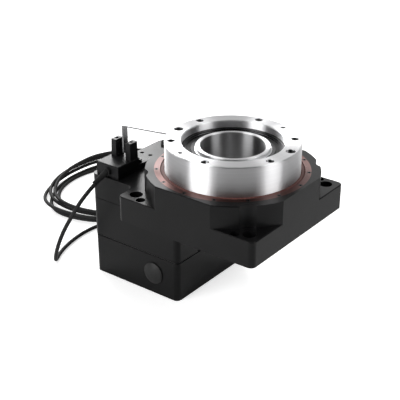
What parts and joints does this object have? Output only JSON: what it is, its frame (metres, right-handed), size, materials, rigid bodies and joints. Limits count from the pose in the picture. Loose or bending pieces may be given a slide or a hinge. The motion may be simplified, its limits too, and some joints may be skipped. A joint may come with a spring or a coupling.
{
  "type": "hollow rotary platform",
  "caption": "Geared rotary table with a hollow bore on crossed rollers, a side motor block with clamp coupling, and a home sensor with flag and coiled lead.",
  "frame": {"origin": "rotation axis at the base plane of the square housing", "axes": "+Z along the rotation axis towards the table face, +X from the motor block towards the table"},
  "size_m": [0.2174, 0.1704, 0.0883],
  "materials": {
    "black_casting": "satin black anodised casting, fine grain",
    "black_block": "satin black anodised, fine grain",
    "cover_plate": "black anodised plate",
    "black_screw": "black oxide screw steel",
    "sleeve_metal": "ground and polished steel",
    "bearing_steel": "ground bearing steel",
    "copper_ring": "copper coloured plating, satin",
    "seal_rubber": "red brown seal rubber",
    "bearing_seal": "black bearing seal",
    "table_metal": "turned and polished",
    "gear_steel": "ground gear steel",
    "collar_steel": "blackened steel",
    "plug_plastic": "black moulded plastic",
    "sensor_plastic": "black moulded plastic",
    "lead_rubber": "black cable jacket",
    "flag_sheet": "bright sheet metal",
    "flag_screw": "bright screw"
  },
  "bodies": {
    "base": {"housing": "black_casting", "bottom_cover": "cover_plate", "cover_screws": "black_screw", "hollow_sleeve": "sleeve_metal", "sleeve_screws": "black_screw", "bearing_outer_lower": "bearing_steel", "bearing_outer_upper": "bearing_steel", "retaining_ring": "copper_ring", "ring_screws": "black_screw", "dust_seal": "seal_rubber", "sleeve_bearing_inner": "bearing_steel", "pinion_bearing_outer_upper": "bearing_steel", "pinion_bearing_outer_lower": "bearing_steel", "adapter_block_upper": "black_block", "adapter_block_lower": "black_block", "access_plug": "plug_plastic", "block_screws_long": "black_screw", "block_screws_short": "black_screw", "sensor_body": "sensor_plastic", "sensor_screws": "black_screw", "sensor_strain_relief": "lead_rubber", "sensor_lead": "lead_rubber", "sensor_lead_coil": "lead_rubber", "sensor_lead_end": "lead_rubber"},
    "table": {"rotary_table": "table_metal", "bearing_inner_ring": "bearing_steel", "ring_gear": "gear_steel", "gear_screws": "black_screw", "sleeve_bearing_outer": "bearing_steel", "sleeve_bearing_seal": "bearing_seal", "sensor_flag": "flag_sheet", "flag_screw": "flag_screw"},
    "rollers": {"crossed_rollers": "bearing_steel"},
    "pinion": {"pinion_shaft": "gear_steel", "pinion_bearing_inner_upper": "bearing_steel", "pinion_bearing_inner_lower": "bearing_steel", "clamp_collar": "collar_steel", "clamp_screw": "black_screw"}
  },
  "joints": [
    {"name": "table_spin", "type": "hinge", "parent": "base", "child": "table", "pos_m": [0, 0, 0], "axis": [0, 0, 1], "continuous": true},
    {"name": "roller_orbit", "type": "hinge", "parent": "base", "child": "rollers", "pos_m": [0, 0, 0], "axis": [0, 0, 1], "continuous": true},
    {"name": "pinion_spin", "type": "hinge", "parent": "base", "child": "pinion", "pos_m": [-0.0432, 0, 0], "axis": [0, 0, 1], "continuous": true}
  ],
  "couplings": [
    {"joint": "roller_orbit", "follows": "table_spin", "ratio": 0.4736},
    {"joint": "pinion_spin", "follows": "table_spin", "ratio": -5}
  ]
}
